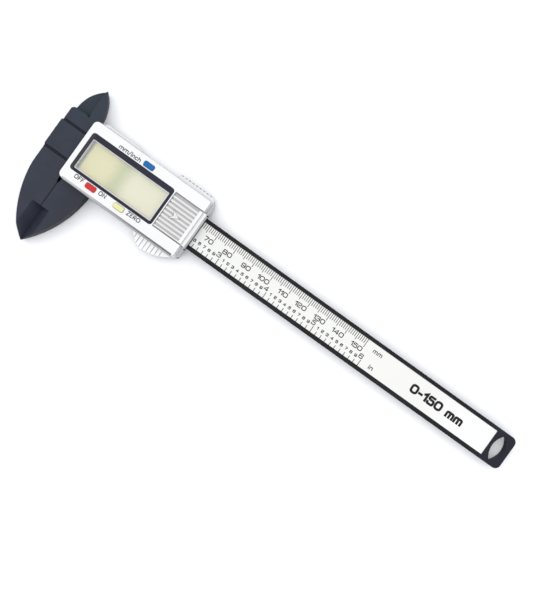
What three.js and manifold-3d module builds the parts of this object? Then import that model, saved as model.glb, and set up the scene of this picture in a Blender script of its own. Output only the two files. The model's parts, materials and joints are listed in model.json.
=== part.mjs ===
// Digital caliper with a 150 mm measuring range, moulded in fibre-filled plastic.
//
// It is drawn in caliper coordinates, in millimetres:
//   x runs along the beam, and is 0 at the fixed jaw's measuring face
//   y runs across the beam, and is 0 on its centreline, with the inside jaws on the + side
//   z rises from the rear, 0, to the display
// The exported group is shifted so that its origin is under the middle of the whole caliper.

import * as THREE from "three";
import { mergeVertices } from "three/addons/utils/BufferGeometryUtils.js";
import Module from "manifold-3d";

const wasm = await Module();
wasm.setup();

// ---------------------------------------------------------------- driving dimensions

const RANGE = 150; // the largest size that the caliper measures
const GAP = 0.05; // between pieces that are fastened together
const SLIDE_GAP = 0.1; // between pieces that slide on each other

// Beam
const BEAM_HALF = 8;
const BEAM_BACK = 2;
const BEAM_FRONT = 6.2;
const BEAM_END = RANGE + 78.8;
const BEAM_CORNER = 2.6;
const TRACK_HALF = 6.3; // the recess that holds the scale strip and the label
const TRACK_FLOOR = 5.1;
const TRACK_START = 0.3;
const TRACK_END = BEAM_END - 9.7;
const STRIP_TOP = 5.8;
const LABEL_TOP = 5.95;
const HANG_HOLE = { x: BEAM_END - 5.3, halfWidth: 2.85, halfHeight: 6.6 };

// Jaws
const JAW_BACK = BEAM_BACK;
const JAW_FRONT = 8.5;
const JAW_TIP_Y = -47.2;
const JAW_WIDTH = 14.1; // of the fixed outside jaw, at its root
const JAW_ROOT_Y = -16;
const JAW_RELIEF_Y = -17.5; // the measuring faces start below a small gap at their root
const JAW_RELIEF = 0.65; // how far the gap reaches into each jaw
const JAW_BULGE = 2.85; // how far the outer curve stands off its chord
const MOVING_JAW_WIDTH = 13.75;
const HEAD_WAIST = 0.5; // how far the head's middle band stands out
const BLADE_X = -5.55; // the line where the two inside blades measure
const BLADE_TIP_Y = 27.8;
const BLADE_ROOT_Y = 14.2;
const FIXED_BLADE = 6.2; // width of each blade at its root
const MOVING_BLADE = 7.3;
const BLADE_SPLIT = 5.2; // the fixed blade is in front of this height, the moving one behind it
const KNIFE_Y = -29.4; // the outside jaws are thinned to a knife edge below this
const KNIFE_WIDTH = 4.5;
const KNIFE_Z = 3.5;
const BLADE_KNIFE = 1.8;
const BLADE_EDGE = 1; // thickness left along the blades' measuring edges
const GROOVE_Y = [-6.7, 7.2]; // two shallow grooves across the head

// Slider
const PLATE_TOP = 1.8;
const RAIL_TOP = 6.4;
const RAIL_IN = BEAM_HALF + SLIDE_GAP;
const RAIL_OUT = 12.8;
const SLIDER_END = 61.3;

// Silver shells
const FRAME_BACK = PLATE_TOP + SLIDE_GAP;
const DECK_BACK = 7.2;
const DECK_FRONT = 8.6;
const SHELL_LEFT = -0.35;
const SHELL_RIGHT = 60;
const SHELL_HALF = 14.25;
const SHELL_Y0 = -14; // the front cover sits a little off the beam's centreline
const SHELL_Y1 = 14.5;
const SHELL_FRONT = 14;
const SHELL_WALL = 1.5;
const SHELL_DRAFT = 0.65;
const FRAME_END = 61.8;
const GRIP_PITCH = 1.92;
const THUMB_GRIP = { x0: 39.9, y0: -16.6, x1: 45.3, y1: -19.95, bulge: 0.4 }; // its steep left side
const THUMB_RIDGE_X = 41; // of the first ridge
const FRAME_ROUND = 0.7;

// Display
const WINDOW = { x0: 1.8, x1: 44.7, y0: -8.8, y1: 9.88, corner: 1.4 };
const VIEW = { x0: 3.85, x1: 43, y0: -7.05, y1: 6.9, corner: 0.4 };
const WINDOW_BACK = 12.75;
const WINDOW_FRONT = 13.8;
const LCD = { x0: 3.7, x1: 43.1, half: 8.1, z0: 9.7, z1: 11.9 };

// Board
const BOARD_BACK = RAIL_TOP + GAP;
const BOARD_FRONT = 7.25;
const BOARD_HALF = 12.4;
const ON_BOARD = BOARD_FRONT + GAP;

// Buttons
const BUTTON = { width: 5.1, depth: 2.35, top: 14.6, flange: 6.5, travel: 0.5, corner: 0.75 };
const BUTTONS = [
  { name: "units", x: 29.4, y: 11.62, colour: 0x1d63b0 },
  { name: "power", x: 14.45, y: -10.45, colour: 0xd8222a },
  { name: "zero", x: 29.15, y: -10.45, colour: 0xe9e27a },
];
const DOME_Y = 10.7;
const DOME_TOP = 7.85;

// Battery
const CELL = { x: 52.2, radius: 5.8, z0: 7.5, z1: 12.9 };
const WELL_INNER = CELL.radius + 0.3;
const WELL_OUTER = CELL.radius + 0.8;
const BAY = { x0: 45.45, y0: -8.13, y1: 9.15, floor: 12.93 };
const RIB_PITCH = 1.86;
const RIB_COUNT = 9;
const FIRST_GROOVE_Y = -6.65;
// A plain arrowhead amid the ribs, pointing the way that the cover slides off.
const ARROW = { back: 48.9, notch: 50.2, tip: 53.3, y: 0.5, half: 2.2 };
const DOOR_LIP = { x: 61.5, z0: 8.75, z1: 13.1 };

// Fasteners
const CASE_SCREWS = [
  [5, 10.9],
  [55.4, 10.9],
  [5, -10.9],
  [55.4, -10.9],
];
const BOARD_SCREWS = [
  [39, 10.9],
  [39, -10.9],
];
const CASE_SHANK = 0.9;
const BOARD_SHANK = 0.6;

// The middle of the whole caliper, where the part's own origin is.
const CENTRE_X = (BEAM_END - JAW_WIDTH - HEAD_WAIST) / 2;
const CENTRE_Y = (BLADE_TIP_Y + JAW_TIP_Y) / 2;

// ---------------------------------------------------------------- solids from three.js geometry

function solid(geometry) {
  const source = geometry.index ? geometry.toNonIndexed() : geometry;
  const bare = new THREE.BufferGeometry();
  bare.setAttribute("position", source.getAttribute("position"));
  const merged = mergeVertices(bare, 1e-4);
  const mesh = new wasm.Mesh({
    numProp: 3,
    vertProperties: merged.attributes.position.array,
    triVerts: new Uint32Array(merged.index.array),
  });
  return new wasm.Manifold(mesh);
}

function geometryOf(body) {
  const mesh = body.getMesh();
  const geometry = new THREE.BufferGeometry();
  geometry.setAttribute("position", new THREE.BufferAttribute(mesh.vertProperties, 3));
  geometry.setIndex(new THREE.BufferAttribute(mesh.triVerts, 1));
  geometry.computeVertexNormals();
  return geometry;
}

function join(first, ...others) {
  return others.reduce((body, other) => body.add(other), first);
}

function cut(first, ...others) {
  return others.reduce((body, other) => body.subtract(other), first);
}

function block(x0, x1, y0, y1, z0, z1) {
  const geometry = new THREE.BoxGeometry(x1 - x0, y1 - y0, z1 - z0);
  return solid(geometry.translate((x0 + x1) / 2, (y0 + y1) / 2, (z0 + z1) / 2));
}

function rod(x, y, radius, z0, z1, sides = 20) {
  const geometry = new THREE.CylinderGeometry(radius, radius, z1 - z0, sides);
  return solid(geometry.rotateX(Math.PI / 2).translate(x, y, (z0 + z1) / 2));
}

// A flat outline raised from z0 to z1, with rounded upper and lower edges if bevel is given.
function plate(shape, z0, z1, { bevel = 0, curveSegments = 4 } = {}) {
  const geometry = new THREE.ExtrudeGeometry(shape, {
    depth: z1 - z0 - 2 * bevel,
    bevelEnabled: bevel > 0,
    bevelThickness: bevel,
    bevelSize: bevel,
    bevelOffset: -bevel,
    bevelSegments: 2,
    curveSegments,
  });
  return solid(geometry.translate(0, 0, z0 + bevel));
}

// An outline at z1 that widens evenly by grow on its way down to z0.
function draftedPlate(shape, z0, z1, grow) {
  const height = z1 - z0;
  const geometry = new THREE.ExtrudeGeometry(shape, {
    depth: 1,
    bevelThickness: height,
    bevelSize: grow,
    bevelSegments: 1,
    curveSegments: 3,
  });
  const both = solid(geometry.translate(0, 0, z0 - 1));
  return cut(both, block(-50, 150, -50, 50, z0 - 2 * height - 2, z0));
}

// A profile of [x, z] points carried along y.
function prismAlongY(points, y0, y1) {
  const shape = new THREE.Shape(points.map(([x, z]) => new THREE.Vector2(x, z)));
  const geometry = new THREE.ExtrudeGeometry(shape, { depth: y1 - y0, bevelEnabled: false });
  return solid(geometry.rotateX(Math.PI / 2).translate(0, y1, 0));
}

// A profile of [y, z] points carried along x.
function prismAlongX(points, x0, x1) {
  const shape = new THREE.Shape(points.map(([y, z]) => new THREE.Vector2(y, z)));
  const geometry = new THREE.ExtrudeGeometry(shape, { depth: x1 - x0, bevelEnabled: false });
  const turn = new THREE.Matrix4().makeBasis(
    new THREE.Vector3(0, 1, 0),
    new THREE.Vector3(0, 0, 1),
    new THREE.Vector3(1, 0, 0),
  );
  return solid(geometry.applyMatrix4(turn).translate(x0, 0, 0));
}

// A rectangle whose corners at x0 and at x1 can have their own radii.
function roundedRectangle(x0, x1, y0, y1, r, right = r) {
  const shape = new THREE.Shape();
  shape.moveTo(x0 + r, y0);
  shape.lineTo(x1 - right, y0);
  shape.absarc(x1 - right, y0 + right, right, -Math.PI / 2, 0, false);
  shape.lineTo(x1, y1 - right);
  shape.absarc(x1 - right, y1 - right, right, 0, Math.PI / 2, false);
  shape.lineTo(x0 + r, y1);
  shape.absarc(x0 + r, y1 - r, r, Math.PI / 2, Math.PI, false);
  shape.lineTo(x0, y0 + r);
  shape.absarc(x0 + r, y0 + r, r, Math.PI, 1.5 * Math.PI, false);
  return shape;
}

// A circular arc from the shape's last point to (x, y). It stands off its chord by bulge,
// to the right of the way it runs, or to the left if bulge is negative.
function arcTo(shape, x, y, bulge) {
  const from = shape.currentPoint.clone();
  const chord = new THREE.Vector2(x, y).sub(from);
  const length = chord.length();
  const height = Math.abs(bulge);
  const radius = (length * length / 4 + height * height) / (2 * height);
  const side = Math.sign(bulge);
  const normal = new THREE.Vector2(chord.y, -chord.x).multiplyScalar(side / length);
  const centre = from.clone().addScaledVector(chord, 0.5).addScaledVector(normal, height - radius);
  const start = Math.atan2(from.y - centre.y, from.x - centre.x);
  const end = Math.atan2(y - centre.y, x - centre.x);
  shape.absarc(centre.x, centre.y, radius, start, end, bulge < 0);
}

// ---------------------------------------------------------------- fixed half

function hangHole() {
  const shape = new THREE.Shape();
  const { x, halfWidth, halfHeight } = HANG_HOLE;
  shape.moveTo(x, -halfHeight);
  arcTo(shape, x, halfHeight, halfWidth);
  arcTo(shape, x, -halfHeight, halfWidth);
  return plate(shape, BEAM_BACK - 1, BEAM_FRONT + 1, { curveSegments: 10 });
}

// The head with both fixed jaws, anticlockwise from the root of the outside measuring face.
function headOutline() {
  const left = -JAW_WIDTH;
  const waist = left - HEAD_WAIST;
  const shape = new THREE.Shape();
  shape.moveTo(0, BEAM_HALF);
  shape.lineTo(0, BLADE_ROOT_Y + 0.4);
  shape.lineTo(BLADE_X + FIXED_BLADE, BLADE_ROOT_Y + 0.4);
  shape.lineTo(BLADE_X + FIXED_BLADE, BLADE_ROOT_Y + 1.4);
  arcTo(shape, BLADE_X + 0.4, BLADE_TIP_Y - 0.1, 1.2);
  shape.lineTo(BLADE_X, BLADE_TIP_Y - 1);
  shape.lineTo(BLADE_X, BLADE_ROOT_Y);
  shape.lineTo(left + 2.4, BLADE_ROOT_Y);
  arcTo(shape, left + 0.2, BLADE_ROOT_Y - 1.4, 0.4);
  shape.lineTo(left + 0.2, 7.6);
  shape.lineTo(waist, 6.4);
  shape.lineTo(waist, -6.4);
  shape.lineTo(left, -7.6);
  shape.lineTo(left, JAW_ROOT_Y);
  arcTo(shape, 0, JAW_TIP_Y, JAW_BULGE);
  shape.lineTo(0, JAW_RELIEF_Y);
  shape.lineTo(-JAW_RELIEF, JAW_RELIEF_Y + 1.5);
  shape.lineTo(-JAW_RELIEF, -BEAM_HALF);
  return shape;
}

function mainBeam() {
  const bar = plate(
    roundedRectangle(-3, BEAM_END, -BEAM_HALF, BEAM_HALF, 0.5, BEAM_CORNER),
    BEAM_BACK,
    BEAM_FRONT,
    { curveSegments: 4 },
  );
  const head = plate(headOutline(), JAW_BACK, JAW_FRONT, { curveSegments: 8 });
  const roomForMovingBlade = block(-30, 5, RAIL_IN, 40, 0, BLADE_SPLIT + SLIDE_GAP);
  const knife = prismAlongY(
    [[-KNIFE_WIDTH, JAW_FRONT], [0, KNIFE_Z], [1, KNIFE_Z], [1, 10], [-KNIFE_WIDTH, 10]],
    JAW_TIP_Y - 2,
    KNIFE_Y,
  );
  const edgeBack = JAW_FRONT - BLADE_EDGE;
  const bladeKnife = prismAlongY(
    [
      [BLADE_X - 1, 4],
      [BLADE_X + BLADE_KNIFE, 4],
      [BLADE_X + BLADE_KNIFE, BLADE_SPLIT],
      [BLADE_X, edgeBack],
      [BLADE_X - 1, edgeBack],
    ],
    BLADE_ROOT_Y + 1.6,
    BLADE_TIP_Y + 1,
  );
  const bladeRelief = block(BLADE_X - 0.5, BLADE_X + 0.5, BLADE_ROOT_Y - 0.4, BLADE_ROOT_Y + 1.6, 3, 10);
  const grooves = GROOVE_Y.map((y) => {
    const top = JAW_FRONT + 0.1;
    const floor = JAW_FRONT - 0.9;
    const profile = [[y - 0.62, top], [y - 0.2, floor], [y + 0.2, floor], [y + 0.62, top]];
    return prismAlongX(profile, -20, 1);
  });
  const track = block(TRACK_START, TRACK_END, -TRACK_HALF, TRACK_HALF, TRACK_FLOOR, 10);
  const rearPanel = plate(roundedRectangle(68, 214, -5.4, 5.4, 1), BEAM_BACK - 1, BEAM_BACK + 0.5);
  return cut(
    join(bar, cut(head, roomForMovingBlade)),
    knife,
    bladeKnife,
    bladeRelief,
    ...grooves,
    track,
    rearPanel,
    hangHole(),
  );
}

function trackFiller(z0, z1) {
  return block(TRACK_START + GAP, TRACK_END - GAP, GAP - TRACK_HALF, TRACK_HALF - GAP, z0, z1);
}

// ---------------------------------------------------------------- sliding half

function movingJaw() {
  const shape = new THREE.Shape();
  shape.moveTo(GAP, JAW_RELIEF_Y);
  shape.lineTo(GAP, JAW_TIP_Y);
  arcTo(shape, MOVING_JAW_WIDTH, JAW_ROOT_Y, JAW_BULGE);
  shape.lineTo(MOVING_JAW_WIDTH, -RAIL_IN);
  shape.lineTo(JAW_RELIEF, -RAIL_IN);
  shape.lineTo(JAW_RELIEF, JAW_RELIEF_Y + 1.5);
  const knife = prismAlongY(
    [[KNIFE_WIDTH, JAW_FRONT], [KNIFE_WIDTH, 10], [-1, 10], [-1, KNIFE_Z], [GAP, KNIFE_Z]],
    JAW_TIP_Y - 2,
    KNIFE_Y,
  );
  const roomForBoard = block(0, MOVING_JAW_WIDTH + 1, -RAIL_OUT, 0, RAIL_TOP, 10);
  const roomForDeck = block(0, MOVING_JAW_WIDTH + 1, -SHELL_HALF - 0.1, 0, DECK_BACK - SLIDE_GAP, 10);
  return cut(plate(shape, JAW_BACK, JAW_FRONT, { curveSegments: 8 }), knife, roomForBoard, roomForDeck);
}

function movingBlade() {
  const left = BLADE_X - MOVING_BLADE;
  const front = BLADE_SPLIT - SLIDE_GAP;
  const shape = new THREE.Shape();
  shape.moveTo(1.7, RAIL_IN + SLIDE_GAP);
  shape.lineTo(1.7, BLADE_ROOT_Y);
  shape.lineTo(BLADE_X, BLADE_ROOT_Y);
  shape.lineTo(BLADE_X, BLADE_TIP_Y);
  arcTo(shape, left + 0.1, BLADE_ROOT_Y + 1.4, 1.6);
  shape.lineTo(left - 0.3, BLADE_ROOT_Y - 1);
  shape.lineTo(left - 0.3, RAIL_IN + SLIDE_GAP);
  const knife = prismAlongY(
    [
      [BLADE_X + 1, -1],
      [BLADE_X + 1, front - BLADE_EDGE],
      [BLADE_X, front - BLADE_EDGE],
      [BLADE_X - BLADE_KNIFE, 1],
      [BLADE_X - BLADE_KNIFE, -1],
    ],
    BLADE_ROOT_Y + 1.6,
    BLADE_TIP_Y + 1,
  );
  return cut(plate(shape, 1, front, { curveSegments: 8 }), knife);
}

function sliderJaw() {
  const start = SLIDE_GAP;
  const backPlate = plate(roundedRectangle(start, SLIDER_END, -14.2, 14.2, 0.3, 1.5), 0, PLATE_TOP);
  const rails = [-1, 1].map((side) => {
    const edges = [side * RAIL_IN, side * RAIL_OUT].sort((a, b) => a - b);
    return block(start, 60.4, ...edges, 1, RAIL_TOP);
  });
  const screwSeats = CASE_SCREWS.flatMap(([x, y]) => [
    rod(x, y, 2, -1, 1.5),
    rod(x, y, CASE_SHANK + 0.1, -1, 9, 12),
  ]);
  const boardScrewPockets = BOARD_SCREWS.map(([x, y]) => rod(x, y, 1.5, 5.2, 9, 12));
  const springPocket = block(12, 50, RAIL_IN - 1, 8.95, 3, 5.6);
  return cut(
    join(backPlate, ...rails, movingJaw(), movingBlade()),
    ...screwSeats,
    ...boardScrewPockets,
    springPocket,
  );
}

// The lower silver shell, anticlockwise from its lower left corner. The thumb grip is below.
function frameOutline() {
  const shape = new THREE.Shape();
  shape.moveTo(SHELL_LEFT, -SHELL_HALF);
  shape.lineTo(37.3, -SHELL_HALF - 0.4);
  arcTo(shape, THUMB_GRIP.x0, THUMB_GRIP.y0, -0.25);
  arcTo(shape, THUMB_GRIP.x1, THUMB_GRIP.y1, THUMB_GRIP.bulge);
  arcTo(shape, FRAME_END, -12.5, 1.9);
  shape.lineTo(FRAME_END, 12.3);
  arcTo(shape, 58.4, 17.1, 1);
  shape.lineTo(42.4, 17.1);
  shape.lineTo(40.8, 15.1);
  shape.lineTo(23, 15.1);
  shape.lineTo(20, 16.4);
  shape.lineTo(3.4, 16.4);
  shape.lineTo(1.9, 15.1);
  shape.lineTo(SHELL_LEFT, SHELL_HALF);
  return shape;
}

function gripFrame() {
  const shell = plate(frameOutline(), FRAME_BACK, DECK_FRONT, {
    bevel: FRAME_ROUND,
    curveSegments: 5,
  });
  const roomForSlider = block(-5, 60.5, -12.9, 12.9, 0, DECK_BACK);
  const deckOpening = block(0.9, 58.8, -13.1, 13.1, DECK_BACK - 1, 9);
  const roomForHead = block(-5, 1.8, -20, 20, 0, DECK_BACK);
  const roomForJaw = block(-5, MOVING_JAW_WIDTH + 0.2, -20, -SHELL_HALF, 0, 10);
  const roomUnderDeck = block(-5, MOVING_JAW_WIDTH + 0.2, -20, 0, 0, DECK_BACK);
  const roomForBlade = block(-5, 1.7, BLADE_ROOT_Y, 20, 0, 10);
  const overHead = block(-5, 0.2, -20, 20, 0, 10);
  const beamSlot = block(59, 65, -8.3, 8.3, 0, BEAM_FRONT + 0.2);
  const thumbRidges = Array.from({ length: 8 }, (_, i) => {
    const x = THUMB_RIDGE_X + i * GRIP_PITCH;
    const profile = [[x - 0.22, 9], [x - 0.22, 8.6], [x, 8.25], [x + 0.22, 8.6], [x + 0.22, 9]];
    return prismAlongY(profile, -22, -15);
  });
  const thumbNotches = Array.from({ length: 3 }, (_, i) => {
    const x = THUMB_RIDGE_X + i * GRIP_PITCH;
    const share = (x - THUMB_GRIP.x0) / (THUMB_GRIP.x1 - THUMB_GRIP.x0);
    const chordY = THUMB_GRIP.y0 + share * (THUMB_GRIP.y1 - THUMB_GRIP.y0);
    return rod(x, chordY - 4 * THUMB_GRIP.bulge * share * (1 - share) - 0.1, 0.4, 0, 10, 8);
  });
  const fingerRidges = Array.from({ length: 8 }, (_, i) => {
    const x = 43.7 + i * GRIP_PITCH;
    return rod(x, 17.35, 0.45, 0, 10, 8);
  });
  return cut(
    shell,
    roomForSlider,
    deckOpening,
    roomForHead,
    roomForJaw,
    roomUnderDeck,
    roomForBlade,
    overHead,
    beamSlot,
    ...thumbRidges,
    ...thumbNotches,
    ...fingerRidges,
  );
}

function frontCover() {
  const outline = roundedRectangle(SHELL_LEFT, SHELL_RIGHT, SHELL_Y0, SHELL_Y1, 2, 0.8);
  const back = DECK_FRONT + GAP;
  const ceiling = SHELL_FRONT - SHELL_WALL;
  const shell = cut(
    draftedPlate(outline, back, SHELL_FRONT, SHELL_DRAFT),
    block(
      SHELL_LEFT + SHELL_WALL,
      SHELL_RIGHT - SHELL_WALL,
      SHELL_Y0 + SHELL_WALL,
      SHELL_Y1 - SHELL_WALL,
      0,
      ceiling,
    ),
  );
  const windowLedge = block(1, 45.3, -9.2, 10.3, 12, ceiling + 0.1);
  const bayFloor = block(45.2, 58.85, BAY.y0 - 0.9, BAY.y1 + 0.9, 11.7, BAY.floor);
  const well = rod(CELL.x, 0, WELL_OUTER, ON_BOARD, 12, 28);
  const posts = CASE_SCREWS.map(([x, y]) => rod(x, y, 1.9, ON_BOARD, ceiling + 0.1, 14));
  const boardPosts = BOARD_SCREWS.map(([x, y]) => rod(x, y, 1.4, ON_BOARD, ceiling + 0.1, 14));
  const recess = roundedRectangle(WINDOW.x0, WINDOW.x1, WINDOW.y0, WINDOW.y1, WINDOW.corner);
  const view = roundedRectangle(VIEW.x0, VIEW.x1, VIEW.y0, VIEW.y1, VIEW.corner);
  const buttonHoles = BUTTONS.map(({ x, y }) => {
    const halfX = BUTTON.width / 2 + 0.15;
    const halfY = BUTTON.depth / 2 + 0.12;
    const hole = roundedRectangle(x - halfX, x + halfX, y - halfY, y + halfY, BUTTON.corner + 0.1);
    return plate(hole, 11, 15, { curveSegments: 3 });
  });
  const holes = [
    ...CASE_SCREWS.map(([x, y]) => rod(x, y, CASE_SHANK + GAP, 5, 11, 12)),
    ...BOARD_SCREWS.map(([x, y]) => rod(x, y, BOARD_SHANK + GAP, 5, 10.3, 12)),
  ];
  return cut(
    join(shell, windowLedge, bayFloor, well, ...posts, ...boardPosts),
    plate(recess, WINDOW_BACK, 15, { curveSegments: 2 }),
    plate(view, 11, 13, { curveSegments: 2 }),
    ...buttonHoles,
    ...holes,
    rod(CELL.x, 0, WELL_INNER, 5, 15, 28),
    block(CELL.x - 1.7, CELL.x + 1.7, 5, 7.5, 5, 11.69),
    block(BAY.x0, 65, BAY.y0, BAY.y1, BAY.floor, 15),
    block(46.2, 65, BAY.y0 - 0.7, BAY.y1 + 0.7, BAY.floor, 13.55),
    block(58.85, 65, BAY.y0, BAY.y1, 5, 15),
  );
}

function batteryCover() {
  const y0 = BAY.y0 + SLIDE_GAP;
  const y1 = BAY.y1 - SLIDE_GAP;
  const floor = BAY.floor + 0.04;
  const panel = block(BAY.x0 + GAP, SHELL_RIGHT, y0, y1, floor, SHELL_FRONT);
  const tongues = block(46.5, 58.5, y0 - 0.6, y1 + 0.6, floor, 13.42);
  const endWall = block(58.95, DOOR_LIP.x, y0, y1, DOOR_LIP.z0, DOOR_LIP.z1);
  const arrow = new THREE.Shape();
  arrow.moveTo(ARROW.tip, ARROW.y);
  arrow.lineTo(ARROW.back, ARROW.y + ARROW.half);
  arrow.lineTo(ARROW.notch, ARROW.y);
  arrow.lineTo(ARROW.back, ARROW.y - ARROW.half);
  const pad = plate(arrow, floor, 15);
  const grooves = Array.from({ length: RIB_COUNT }, (_, i) => {
    const y = FIRST_GROOVE_Y + i * RIB_PITCH;
    const profile = [[y - 0.55, 14.2], [y - 0.3, 13.4], [y + 0.3, 13.4], [y + 0.55, 14.2]];
    return cut(prismAlongX(profile, BAY.x0 - 1, 58.3), pad);
  });
  return cut(join(panel, tongues, endWall), ...grooves);
}

function button({ x, y }) {
  const halfX = BUTTON.width / 2;
  const halfY = BUTTON.depth / 2;
  const cap = plate(
    roundedRectangle(x - halfX, x + halfX, y - halfY, y + halfY, BUTTON.corner),
    11.5,
    BUTTON.top,
    { bevel: 0.2, curveSegments: 3 },
  );
  const flangeHalf = BUTTON.flange / 2;
  const flange = block(x - flangeHalf, x + flangeHalf, y - halfY + 0.05, y + halfY - 0.05, 11.5, 12.3);
  const stemY = Math.sign(y) * DOME_Y;
  const stem = block(x - 1.2, x + 1.2, stemY - 0.6, stemY + 0.6, DOME_TOP + BUTTON.travel + GAP, 11.6);
  return join(cap, flange, stem);
}

// ---------------------------------------------------------------- display and electronics

function displayWindow() {
  const { x0, x1, y0, y1, corner } = WINDOW;
  const outline = roundedRectangle(x0 + GAP, x1 - GAP, y0 + GAP, y1 - GAP, corner - GAP);
  return plate(outline, WINDOW_BACK + GAP, WINDOW_FRONT, { curveSegments: 2 });
}

function lcdHolder() {
  const outer = roundedRectangle(2.6, 44.2, -8.9, 8.9, 0.8);
  const ring = plate(outer, ON_BOARD, 11.95, { curveSegments: 2 });
  return cut(ring, block(LCD.x0 - GAP, LCD.x1 + GAP, -LCD.half - GAP, LCD.half + GAP, 7, 13));
}

function mainBoard() {
  const panel = plate(roundedRectangle(1.6, 58.5, -BOARD_HALF, BOARD_HALF, 0.8), BOARD_BACK, BOARD_FRONT);
  const holes = [
    ...CASE_SCREWS.map(([x, y]) => rod(x, y, CASE_SHANK + 0.15, 5, 9, 12)),
    ...BOARD_SCREWS.map(([x, y]) => rod(x, y, BOARD_SHANK + 0.15, 5, 9, 12)),
  ];
  return cut(panel, ...holes);
}

// A round piece turned about a vertical axis at (x, y), from [radius, z] points.
function turned(points, x, y, sides) {
  const profile = points.map(([r, z]) => new THREE.Vector2(r, z));
  const geometry = new THREE.LatheGeometry(profile, sides);
  return solid(geometry.rotateX(Math.PI / 2).translate(x, y, 0));
}

function chipCover() {
  const height = 1.3;
  const radius = 3.2;
  const steps = 5;
  const dome = Array.from({ length: steps + 1 }, (_, i) => {
    const angle = (i / steps) * (Math.PI / 2);
    return [radius * Math.cos(angle), ON_BOARD + 0.2 + (height - 0.2) * Math.sin(angle)];
  });
  dome[steps][0] = 0;
  return turned([[0, ON_BOARD], [radius, ON_BOARD], ...dome], 22, 0, 20);
}

function snapDome({ x, y }) {
  const profile = [[0, ON_BOARD], [1.4, ON_BOARD], [1.4, ON_BOARD + 0.15], [0.8, DOME_TOP], [0, DOME_TOP]];
  return turned(profile, x, Math.sign(y) * DOME_Y, 14);
}

function batteryCell() {
  const { radius, z0, z1 } = CELL;
  const profile = [
    [0, z0],
    [radius - 1, z0],
    [radius - 1, z0 + 0.35],
    [radius - 0.25, z0 + 0.35],
    [radius, z0 + 0.6],
    [radius, z1 - 0.25],
    [radius - 0.25, z1],
    [0, z1],
  ];
  return turned(profile, CELL.x, 0, 28);
}

function contactPositive() {
  const y = CELL.radius + 0.06;
  const blade = block(CELL.x - 1.3, CELL.x + 1.3, y, y + 0.2, ON_BOARD, 11.5);
  const foot = block(CELL.x - 1.3, CELL.x + 1.3, y, 8, ON_BOARD, ON_BOARD + 0.2);
  return join(blade, foot);
}

function contactNegative() {
  return block(47, 57.2, -1.2, 1.2, ON_BOARD, CELL.z0 - 0.04);
}

// A thin bowed strip that presses the beam's upper edge, with its ends in the rail's pocket.
function gibSpring() {
  const thickness = 0.2;
  const bow = 0.6;
  const ends = 8.9;
  const shape = new THREE.Shape();
  shape.moveTo(12.6, ends - thickness);
  arcTo(shape, 49.4, ends - thickness, bow);
  shape.lineTo(49.4, ends);
  arcTo(shape, 12.6, ends, -bow);
  return plate(shape, 3.2, 5.4, { curveSegments: 6 });
}

// A cross-recessed screw, its head down.
function screw(headRadius, headHeight, shankRadius, length) {
  const profile = [
    [0, 0],
    [headRadius - 0.3, 0],
    [headRadius, 0.3],
    [headRadius, headHeight],
    [shankRadius, headHeight],
    [shankRadius, length - 0.6],
    [0.2, length],
    [0, length],
  ];
  const arm = 0.6 * headRadius;
  const slot = 0.14 * headRadius;
  const depth = 0.6 * headHeight;
  const recess = join(block(-arm, arm, -slot, slot, -1, depth), block(-slot, slot, -arm, arm, -1, depth));
  return cut(turned(profile, 0, 0, 16), recess);
}

function capacitor(y) {
  return block(45.8, 47.4, y - 0.4, y + 0.4, ON_BOARD, ON_BOARD + 0.8);
}

// ---------------------------------------------------------------- materials

function finish(color, roughness, metalness = 0) {
  return new THREE.MeshStandardMaterial({ color, roughness, metalness });
}

const jawPlastic = finish(0x353941, 0.55);
const silverPaint = finish(0xd9dadc, 0.35, 0.3);
const labelWhite = finish(0xf4f4f0, 0.5);
const boardGreen = finish(0x2c6b3f, 0.5);
const holderBlack = finish(0x2b2b30, 0.5);
const lcdGrey = finish(0xd6d8bd, 0.3);
const windowClear = finish(0xe8eef0, 0.05);
const zebraRubber = finish(0xc98fa0, 0.8);
const epoxyBlack = finish(0x15151a, 0.4);
const steel = finish(0xb9bcc0, 0.3, 1);
const bronze = finish(0xa8763a, 0.35, 1);
const ceramicTan = finish(0xb08a5c, 0.6);

// ---------------------------------------------------------------- assembly

const caliper = new THREE.Group();
caliper.position.set(-CENTRE_X, -CENTRE_Y, 0);
const fixedHalf = new THREE.Group();
const slidingHalf = new THREE.Group();
caliper.add(fixedHalf, slidingHalf);

function place(group, name, body, material, position = [0, 0, 0]) {
  const mesh = new THREE.Mesh(geometryOf(body), material);
  mesh.name = name;
  mesh.position.set(...position);
  group.add(mesh);
}

place(fixedHalf, "main_beam", mainBeam(), jawPlastic);
place(fixedHalf, "scale_strip", trackFiller(TRACK_FLOOR, STRIP_TOP), boardGreen);
place(fixedHalf, "ruler_label", trackFiller(STRIP_TOP, LABEL_TOP), labelWhite);

place(slidingHalf, "slider_jaw", sliderJaw(), jawPlastic);
place(slidingHalf, "grip_frame", gripFrame(), silverPaint);
place(slidingHalf, "front_cover", frontCover(), silverPaint);
place(slidingHalf, "battery_cover", batteryCover(), silverPaint);
place(slidingHalf, "display_window", displayWindow(), windowClear);
place(slidingHalf, "lcd_holder", lcdHolder(), holderBlack);
place(slidingHalf, "lcd_panel", block(LCD.x0, LCD.x1, -LCD.half, LCD.half, LCD.z0, LCD.z1), lcdGrey);
place(slidingHalf, "zebra_upper", block(5, 41.8, 6.6, 7.9, ON_BOARD, LCD.z0 - GAP), zebraRubber);
place(slidingHalf, "zebra_lower", block(5, 41.8, -7.9, -6.6, ON_BOARD, LCD.z0 - GAP), zebraRubber);
place(slidingHalf, "main_board", mainBoard(), boardGreen);
place(slidingHalf, "chip_cover", chipCover(), epoxyBlack);
place(slidingHalf, "battery_cell", batteryCell(), steel);
place(slidingHalf, "contact_positive", contactPositive(), steel);
place(slidingHalf, "contact_negative", contactNegative(), steel);
place(slidingHalf, "gib_spring", gibSpring(), bronze);
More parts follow.
